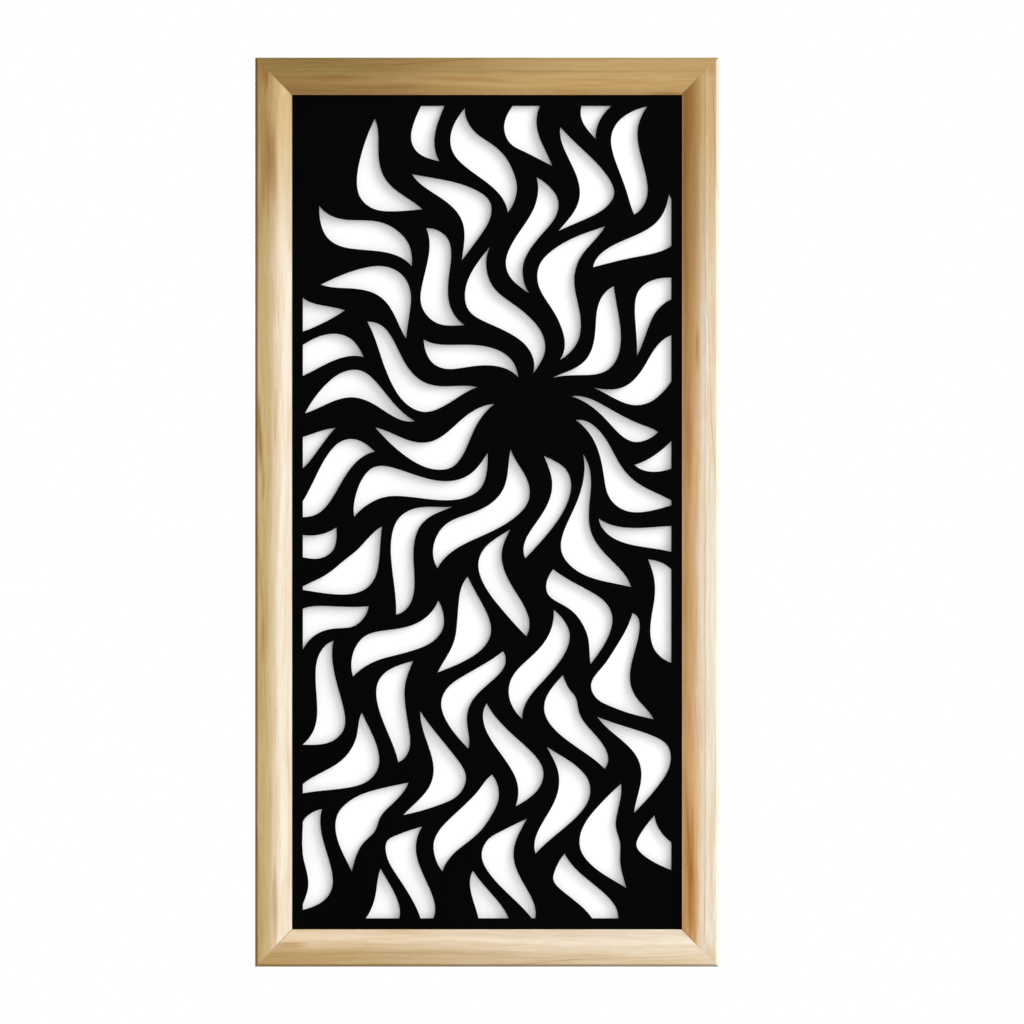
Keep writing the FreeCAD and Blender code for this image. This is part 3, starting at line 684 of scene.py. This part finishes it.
def fastener_row_tree():
    """Node tree that sets a fastener along a straight row, each copy turned by chance about its axis."""
    tree = bpy.data.node_groups.new("fastener_row", "GeometryNodeTree")
    for name, kind in (("Fastener", "Object"), ("First", "Vector"), ("Step", "Vector"), ("Count", "Int"),
                       ("Out", "Vector"), ("Seed", "Int"), ("Finish", "Material")):
        tree.interface.new_socket(name, in_out="INPUT", socket_type=f"NodeSocket{kind}")
    tree.interface.new_socket("Row", in_out="OUTPUT", socket_type="NodeSocketGeometry")
    given = add(tree, "NodeGroupInput").outputs
    places = add(tree, "GeometryNodeMeshLine",
                 {"Count": given["Count"], "Start Location": given["First"], "Offset": given["Step"]},
                 mode="OFFSET")
    shape = add(tree, "GeometryNodeObjectInfo", {"Object": given["Fastener"]})
    facing = add(tree, "FunctionNodeAlignRotationToVector", {"Vector": given["Out"]}, axis="Z")
    chance = add(tree, "FunctionNodeRandomValue", {"Seed": given["Seed"], RANDOM_MAX: 2 * math.pi},
                 data_type="FLOAT")
    spin = add(tree, "FunctionNodeAxisAngleToRotation",
               {"Axis": (0, 0, 1), "Angle": chance.outputs[RANDOM_RESULT]})
    spun = add(tree, "FunctionNodeRotateRotation",
               {"Rotation": facing.outputs[0], "Rotate By": spin.outputs[0]}, rotation_space="LOCAL")
    row = add(tree, "GeometryNodeInstanceOnPoints",
              {"Points": places.outputs[0], "Instance": shape.outputs["Geometry"],
               "Rotation": spun.outputs[0]})
    real = add(tree, "GeometryNodeRealizeInstances", {"Geometry": row.outputs[0]})
    finished = add(tree, "GeometryNodeSetMaterial",
                   {"Geometry": real.outputs[0], "Material": given["Finish"]})
    add(tree, "NodeGroupOutput", {"Row": finished.outputs[0]})
    return tree


def row_axes(out):
    """Numbers of the axes along which a fastener points, its row runs and only its head's width lies."""
    points = max(range(3), key=lambda axis: abs(out[axis]))
    return (2, 0, 1) if points == 2 else (points, 2, 1 - points)


def fastener_row(name, node, make, count, out, seed, material):
    """Row of fasteners where a CAD node has them: the node's box gives their places, length and head."""
    low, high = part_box(node)
    size = high - low
    points, runs, wide = row_axes(out)
    head = size[wide] / 2
    first, step = (low + high) / 2, Vector((0, 0, 0))
    first[points] = high[points] if out[points] > 0 else low[points]
    first[runs] = low[runs] + head
    step[runs] = (size[runs] - 2 * head) / (count - 1)
    fastener = make(head, size[points])
    piece = new_object(name, bpy.data.meshes.new(name))
    modifier = piece.modifiers.new("row", "NODES")
    modifier.node_group = FASTENER_ROW
    settings = {"Fastener": fastener, "First": first, "Step": step, "Count": count, "Out": out, "Seed": seed,
                "Finish": material}
    for socket in FASTENER_ROW.interface.items_tree:
        if socket.in_out == "INPUT":
            modifier[socket.identifier] = settings[socket.name]
    made = evaluated_mesh(piece)
    piece.modifiers.clear()
    piece.data = made
    bpy.data.objects.remove(fastener)
    stand_for(piece, node)


def soft_box(name, place, size, power):
    """Square studio lamp that faces the middle of the panel."""
    lamp = bpy.data.lights.new(name, "AREA")
    lamp.size = size
    lamp.energy = power
    box = new_object(name, lamp)
    box.location = place
    box.rotation_euler = (CENTRE - box.location).to_track_quat("-Z", "Y").to_euler()


def seen_directly(tree):
    """1 for what the camera, a reflection or a view through glass sees, 0 for light that only bounces."""
    path = add(tree, "ShaderNodeLightPath")
    seen = path.outputs["Is Camera Ray"]
    for ray in ("Is Glossy Ray", "Is Transmission Ray"):
        seen = add(tree, "ShaderNodeMath", {0: seen, 1: path.outputs[ray]}, operation="MAXIMUM").outputs[0]
    return seen


def light_studio():
    """A soft key from the upper right, a lamp by the camera, one behind, and pale surroundings."""
    ambient_strength, white = 0.25, 1.0
    # Each lamp's place, width and power in watts.
    lamps = {
        "key_lamp": ((3.6, -2.5, 3.0), 3.6, 225),
        "front_lamp": ((0.9, -5.5, 0.9), 3.0, 105),
        "back_lamp": ((-1.6, 3.2, 1.9), 2.2, 100),
    }
    for name, (place, size, power) in lamps.items():
        soft_box(name, place, size, power)
    world = bpy.data.worlds.new("white_studio")
    world.use_nodes = True
    tree = world.node_tree
    strength = add(tree, "ShaderNodeMapRange",
                   {"Value": seen_directly(tree), "To Min": ambient_strength, "To Max": white})
    feed(tree.nodes["Background"], {"Color": linear("#FFFFFF"), "Strength": strength.outputs[0]})
    bpy.context.scene.world = world


def show_where(tree, shader, share):
    """Let a material show where share is 1, and be clear where it is 0."""
    clear = add(tree, "ShaderNodeBsdfTransparent")
    mixed = add(tree, "ShaderNodeMixShader", {0: share, 1: clear.outputs[0], 2: shader.outputs[0]})
    feed(tree.nodes["Material Output"], {"Surface": mixed.outputs[0]})


def flat_stage(name, corners, material):
    """One flat face of the studio."""
    mesh = bpy.data.meshes.new(name)
    mesh.from_pydata(corners, [], [range(len(corners))])
    mesh.materials.append(material)
    new_object(name, mesh)


def pale_floor():
    """Pale studio floor, which fades out into the white surroundings."""
    drop, radius, sides = 0.4, 3.0, 64
    fade_start, fade_end = 1.2, 2.85
    material, tree, shader = new_material("pale_floor")
    feed(shader, {"Base Color": linear("#F4F3F1"), "Roughness": 0.9, "Specular IOR Level": 0.1})
    place = add(tree, "ShaderNodeTexCoord").outputs["Object"]
    apart = add(tree, "ShaderNodeVectorMath", {0: place}, operation="LENGTH")
    shown = add(tree, "ShaderNodeMapRange",
                {"Value": apart.outputs["Value"], "From Min": fade_start, "From Max": fade_end,
                 "To Min": 1.0, "To Max": 0.0},
                interpolation_type="SMOOTHSTEP")
    show_where(tree, shader, shown.outputs[0])
    corners = [(radius * math.cos(a), radius * math.sin(a), LOW.z - drop) for a in angles_round(sides)]
    flat_stage("studio_floor", corners, material)


def white_card():
    """White card close behind the sheet, on which the openings throw their soft shadows. It is there for the
    camera and reflections alone, and only from the front, so that it neither hides nor shades the back."""
    gap, inset = 3.2 * MM, 12 * MM
    material, tree, shader = new_material("white_card")
    feed(shader, {"Base Color": linear("#FAFAFA"), "Roughness": 1.0, "Specular IOR Level": 0.0,
                  "Emission Color": linear("#FFFFFF"), "Emission Strength": 0.1})
    side = add(tree, "ShaderNodeNewGeometry")
    front = add(tree, "ShaderNodeMath", {0: 1.0, 1: side.outputs["Backfacing"]}, operation="SUBTRACT")
    shown = add(tree, "ShaderNodeMath", {0: seen_directly(tree), 1: front.outputs[0]}, operation="MULTIPLY")
    show_where(tree, shader, shown.outputs[0])
    sheet_low, sheet_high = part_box("fretwork_panel")
    left, right = sheet_low.x + inset, sheet_high.x - inset
    low, high = sheet_low.z + inset, sheet_high.z - inset
    back = sheet_high.y + gap
    corners = [(left, back, low), (right, back, low), (right, back, high), (left, back, high)]
    flat_stage("white_card", corners, material)


def photo_camera():
    """Camera square to the front, which frames the panel where the photograph has it."""
    lens, sensor = 150.0, 36.0
    pixel = HEIGHT / (PHOTO_BOTTOM - PHOTO_TOP)
    distance = IMAGE_SIZE * pixel * lens / sensor
    aside = IMAGE_SIZE / 2 - (PHOTO_LEFT + PHOTO_RIGHT) / 2
    above = (PHOTO_TOP + PHOTO_BOTTOM) / 2 - IMAGE_SIZE / 2
    data = bpy.data.cameras.new("photo_camera")
    data.lens = lens
    data.sensor_width = sensor
    camera = new_object("photo_camera", data)
    camera.location = (CENTRE.x + aside * pixel, LOW.y - distance, CENTRE.z + above * pixel)
    camera.rotation_euler = (math.radians(90), 0, 0)
    bpy.context.scene.camera = camera


FASTENER_ROW = fastener_row_tree()
wire = bright_drawn_wire()
for number, (side_name, side_facts) in enumerate(SIDES.items()):
    board_name = side_facts["board"]
    board_pine = pine(f"varnished_pine_{board_name}", side_facts, side_facts["outer"], side_facts["inner"],
                      varnished=True)
    eased(f"pine_{board_name}", f"frame_{board_name}", BOARD_EASE, board_pine)
    bead_pine = pine(f"raw_pine_bead_{side_name}", side_facts, (HONEY, STRAW), (STRAW, SAPWOOD),
                     varnished=False)
    eased(f"pine_bead_{side_name}", f"retaining_bead_{side_name}", BEAD_EASE, bead_pine)
    fastener_row(f"panel_pins_{side_name}", f"bead_pins_{side_name}", panel_pin, side_facts["pins"],
                 side_facts["pin_heads"], number, wire)
zinc = zinc_plated_steel()
for number, hand in enumerate(("left", "right"), start=len(SIDES)):
    eased(f"keyhole_plate_{hand}", f"hanger_plate_{hand}", PLATE_EASE, zinc)
    fastener_row(f"wood_screws_{hand}", f"hanger_screws_{hand}", wood_screw, SCREWS_PER_PLATE, TO_BACK,
                 number, zinc)
cut_sheet("lacquered_sheet", "fretwork_panel", SHEET_EASE, black_lacquered_board())
beech = compressed_beech()
for corner in ("top_left", "top_right", "bottom_left", "bottom_right"):
    coat(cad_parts[f"mitre_biscuit_{corner}"].data, beech)

pale_floor()
white_card()
light_studio()
photo_camera()
bpy.context.scene.view_settings.view_transform = "Standard"
